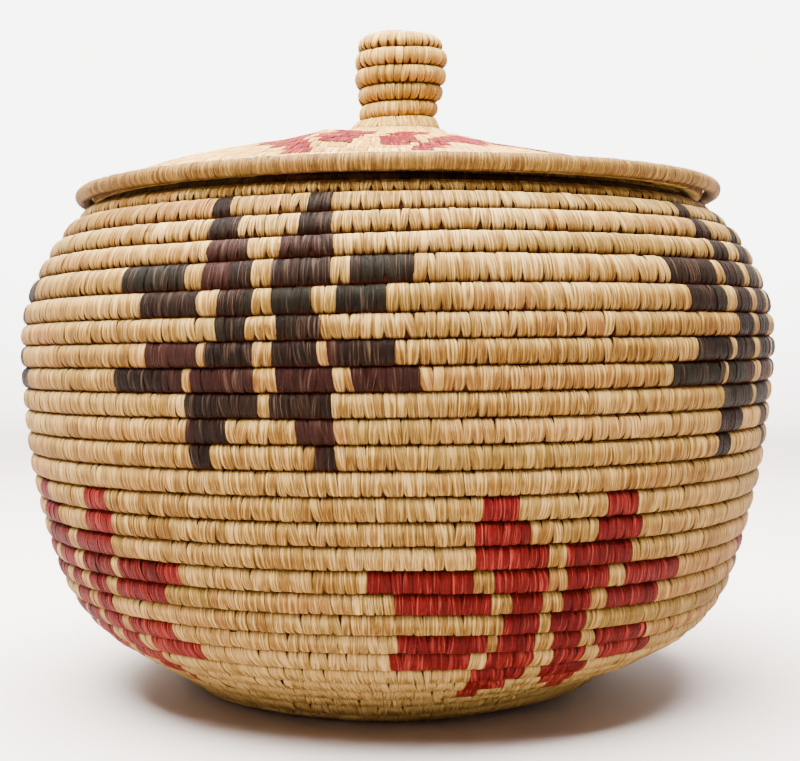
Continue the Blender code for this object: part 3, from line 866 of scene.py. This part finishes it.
# The collar
# Two courses of the same grass, sewn on under the lid. They stand down into the mouth and keep the
# lid in its place.
COLLAR_THICKNESS = 5.6 * MM
COLLAR_COURSES = 2
COLLAR_END_GAP = 0.5 * MM
COLLAR_HOLLOW = 0.2 * MM
COLLAR_START = 0.2
collar_low, collar_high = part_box("lid_collar")
collar_radius = collar_high.x - COLLAR_THICKNESS / 2
collar_line = smooth_line([
    (collar_radius, collar_high.z - COLLAR_END_GAP),
    (collar_radius - COLLAR_HOLLOW, (collar_high.z + collar_low.z) / 2),
    (collar_radius, collar_low.z + COLLAR_END_GAP),
])
collar_coil = Coil(collar_line, [(0, 0), (COLLAR_COURSES, distances(collar_line)[-1])],
                   COLLAR_THICKNESS, outside=1)
collar_bundle = lay_bundle("lid_collar_bundle", collar_coil, COLLAR_START, COLLAR_COURSES + WRAPS_TAIL,
                           roundness=2.7, lap=0.04)
finish_piece(collar_bundle, lid_grass, "lid", "lid_collar")
for obj in lay_wraps("lid_collar_wraps", collar_coil, COLLAR_START, COLLAR_COURSES + WRAPS_TAIL, rng,
                     roundness=2.7, lap=0.04, foot=1):
    finish_piece(obj, lid_strips, "lid", "lid_collar")


# The hollow's floor
# A small round of thin coil, of the same grass, is sewn in across the knob's neck. It closes the
# hollow and holds the pebbles in.
FLOOR_COURSES = 2
FLOOR_WRAPS_START = 0.2
floor_low, floor_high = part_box("rattle_floor")
floor_thickness = floor_high.z - floor_low.z
floor_middle = (floor_low.z + floor_high.z) / 2
floor_line = smooth_line([(radius, floor_middle) for radius in (0, floor_high.x / 2, floor_high.x)])
floor_coil = Coil(floor_line, [(0, 0), (FLOOR_COURSES, floor_high.x)], floor_thickness, outside=-1,
                  settled=lid_settled)
floor_bundle = lay_bundle("rattle_floor_bundle", floor_coil, 0, FLOOR_COURSES + WRAPS_TAIL,
                          roundness=2.7, lap=0.03)
finish_piece(floor_bundle, lid_grass, "lid", "rattle_floor")
for obj in lay_wraps("rattle_floor_wraps", floor_coil, FLOOR_WRAPS_START, FLOOR_COURSES + WRAPS_TAIL,
                     rng, roundness=2.7, lap=0.03, width=2.2 * MM):
    finish_piece(obj, lid_strips, "lid", "rattle_floor")


# The pebbles
# Six small river pebbles lie loose in the knob and make it rattle. They are worn smooth, each a
# little different, of a fine dark stone with paler grains.
PEBBLES = 6
PEBBLE_DENTS = 7
# How near to a dent's middle the stone starts to be worn, as a cosine, and how deep that goes
DENT_START, DENT_DEPTH = 0.72, 0.35

pebble_stone = bpy.data.materials.new("pebble_stone")
pebble_stone.use_nodes = True
stone = Shade(pebble_stone.node_tree)
stone_place = stone.node("TexCoord", {}, {}, "Object")
grains = stone.node("TexNoise", {}, {"Vector": stone_place, "Scale": 900.0, "Detail": 4.0})
veins = stone.node("TexNoise", {}, {"Vector": stone_place, "Scale": 220.0, "Detail": 2.0})
stone_colour = (grains * 0.6 + veins * 0.4).ramp(
    (0.30, 0.55, 0.75), (paint(66, 58, 52), paint(104, 92, 80), paint(168, 154, 136)))
stone_shader = pebble_stone.node_tree.nodes["Principled BSDF"]
stone.join(stone_colour, stone_shader.inputs["Base Color"])
stone.join(0.42 + grains * 0.25, stone_shader.inputs["Roughness"])
stone.join(stone.node("Bump", {}, {"Strength": 0.3, "Distance": 0.1 * MM, "Height": grains}),
           stone_shader.inputs["Normal"])
for number in range(1, PEBBLES + 1):
    node = f"rattle_pebble_{number}"
    low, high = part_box(node)
    bpy.ops.object.select_all(action="DESELECT")
    bpy.ops.mesh.primitive_ico_sphere_add(subdivisions=4, radius=0.5, location=(low + high) / 2,
                                          scale=high - low)
    pebble = bpy.context.object
    pebble.name = pebble.data.name = f"pebble_{number}"
    bpy.ops.object.transform_apply(location=True, rotation=True, scale=True)
    dents = rng.standard_normal((PEBBLE_DENTS, 3))
    dents /= np.linalg.norm(dents, axis=1)[:, None]
    points = np.array([vertex.co for vertex in pebble.data.vertices], float)
    centre = np.array((low + high) / 2)
    away = points - centre
    away /= np.linalg.norm(away, axis=1)[:, None]
    worn = sum(np.clip(away @ dent - DENT_START, 0, None) for dent in dents) * DENT_DEPTH
    points = centre + (points - centre) * (1 - worn)[:, None]
    pebble.data.vertices.foreach_set("co", points.ravel())
    finish_piece(pebble, pebble_stone, f"pebble_{number}", node)


# The setting
# A pale seamless dish for a floor, brightest far behind the basket, one wide soft light straight
# above, and the camera where the photograph was taken, level with the basket's upper half.
STUDIO_RADIUS = 4.0
STUDIO_HEIGHT = 5.0
FLOOR_DROP = 0.3 * MM
bpy.ops.object.select_all(action="DESELECT")
bpy.ops.mesh.primitive_cylinder_add(vertices=96, radius=STUDIO_RADIUS, depth=STUDIO_HEIGHT,
                                    location=(0, 0, STUDIO_HEIGHT / 2 - FLOOR_DROP))
studio = bpy.context.object
studio.name = "studio_floor"
edit(studio)
select_where(studio, "polygons", lambda x, y, z: z > 0.4 * STUDIO_HEIGHT)
bpy.ops.mesh.delete(type="FACE")
select_where(studio, "edges", lambda x, y, z: z < -0.48 * STUDIO_HEIGHT
             and math.hypot(x, y) > 0.97 * STUDIO_RADIUS)
bpy.ops.mesh.bevel(offset=2.2, segments=16, profile=0.5)
bpy.ops.mesh.select_all(action="SELECT")
bpy.ops.mesh.flip_normals()
bpy.ops.object.mode_set(mode="OBJECT")
studio.data.shade_smooth()
bpy.ops.object.transform_apply(location=True, rotation=True, scale=True)
studio_paint = bpy.data.materials.new("studio_paint")
studio_paint.use_nodes = True
room = Shade(studio_paint.node_tree)
room_place = room.node("TexCoord", {}, {}, "Object")
sideways, depth = (room.node("SeparateXYZ", {}, {0: room_place}, axis) for axis in (0, 1))
# The dish shines far behind the basket, and is a little darker in front of it
glow = depth.within(0.9, 3.2) * (1.0 - abs(sideways).within(1.2, 3.4))
in_front = (depth * -1.0).within(0.35, 1.0)
studio_shader = studio_paint.node_tree.nodes["Principled BSDF"]
room.join(in_front.ramp((0.0, 1.0), (paint(184, 173, 166), paint(124, 113, 106))),
          studio_shader.inputs["Base Color"])
room.join(glow.ramp((0.0, 1.0), ((0, 0, 0, 1), (1, 0.985, 0.975, 1))),
          studio_shader.inputs["Emission Color"])
studio_shader.inputs["Roughness"].default_value = 0.9
studio_shader.inputs["Emission Strength"].default_value = 6.0
studio.data.materials.append(studio_paint)

world = bpy.data.worlds.new("studio_world")
bpy.context.scene.world = world
world.use_nodes = True
world.node_tree.nodes["Background"].inputs["Color"].default_value = (1.0, 0.985, 0.97, 1.0)
world.node_tree.nodes["Background"].inputs["Strength"].default_value = 0.17

for name, spot, aim, size, power in (
    ("top_light", (-0.16, -0.10, 1.35), (0, 0, 0.1), 1.5, 400),
    ("front_light", (-0.5, -1.9, 0.9), (0, 0, 0.12), 1.2, 1),
):
    lamp = bpy.data.lights.new(name, "AREA")
    lamp.size, lamp.energy = size, power
    light = bpy.data.objects.new(name, lamp)
    bpy.context.scene.collection.objects.link(light)
    light.location = spot
    direction = [a - b for a, b in zip(aim, spot)]
    light.rotation_euler = Vector(direction).to_track_quat("-Z", "Y").to_euler()

# Where the camera stands, in metres, and then, in the picture's pixels, how long the lens is and
# where the eye's level and the basket's axis are
CAMERA_DISTANCE = 0.580
EYE_HEIGHT = 0.1298
FOCAL_PIXELS = 1452
HORIZON_PIXEL = 348
AXIS_PIXEL = 398
PICTURE_PIXELS = (800, 761)
SENSOR_WIDTH = 36.0
camera_data = bpy.data.cameras.new("camera")
camera_data.sensor_width = SENSOR_WIDTH
camera_data.lens = FOCAL_PIXELS / PICTURE_PIXELS[0] * SENSOR_WIDTH
camera_data.shift_x = (PICTURE_PIXELS[0] / 2 - AXIS_PIXEL) / PICTURE_PIXELS[0]
camera_data.shift_y = (HORIZON_PIXEL - PICTURE_PIXELS[1] / 2) / PICTURE_PIXELS[0]
camera_data.clip_start = 0.02
camera = bpy.data.objects.new("camera", camera_data)
bpy.context.scene.collection.objects.link(camera)
camera.location = (0, -CAMERA_DISTANCE, EYE_HEIGHT)
camera.rotation_euler = (math.radians(90), 0, 0)
bpy.context.scene.camera = camera
